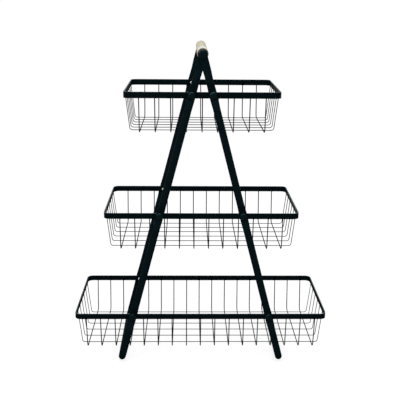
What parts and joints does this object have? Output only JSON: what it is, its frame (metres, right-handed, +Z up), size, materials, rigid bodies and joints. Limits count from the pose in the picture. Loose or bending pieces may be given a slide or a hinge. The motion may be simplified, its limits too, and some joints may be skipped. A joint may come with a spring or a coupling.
{
  "type": "tiered wire basket",
  "caption": "A-shaped bent tube stand with a wooden top handle that carries open wire baskets, each longer than the one above, for fruit, vegetables or household things.",
  "frame": {"origin": "on the floor, under the middle of the handle", "axes": "+X along the baskets, +Y to the rear, +Z up"},
  "size_m": [0.6, 0.2822, 0.7465],
  "materials": {
    "frame_paint": "satin powder coat",
    "basket_paint": "satin powder coat",
    "head_black": "semi-gloss",
    "handle_wood": "pale, smooth and unpainted",
    "bolt_zinc": "bright zinc"
  },
  "bodies": {
    "root": {"left_frame": "frame_paint", "right_frame": "frame_paint", "handle": "handle_wood", "handle_screws": "head_black", "top_rim": "basket_paint", "top_cross_wires": "basket_paint", "top_long_wires": "basket_paint", "middle_rim": "basket_paint", "middle_cross_wires": "basket_paint", "middle_long_wires": "basket_paint", "bottom_rim": "basket_paint", "bottom_cross_wires": "basket_paint", "bottom_long_wires": "basket_paint", "front_caps": "head_black", "rear_caps": "head_black", "front_bolts": "bolt_zinc", "rear_bolts": "bolt_zinc", "front_nuts": "basket_paint", "rear_nuts": "basket_paint"}
  },
  "joints": []
}
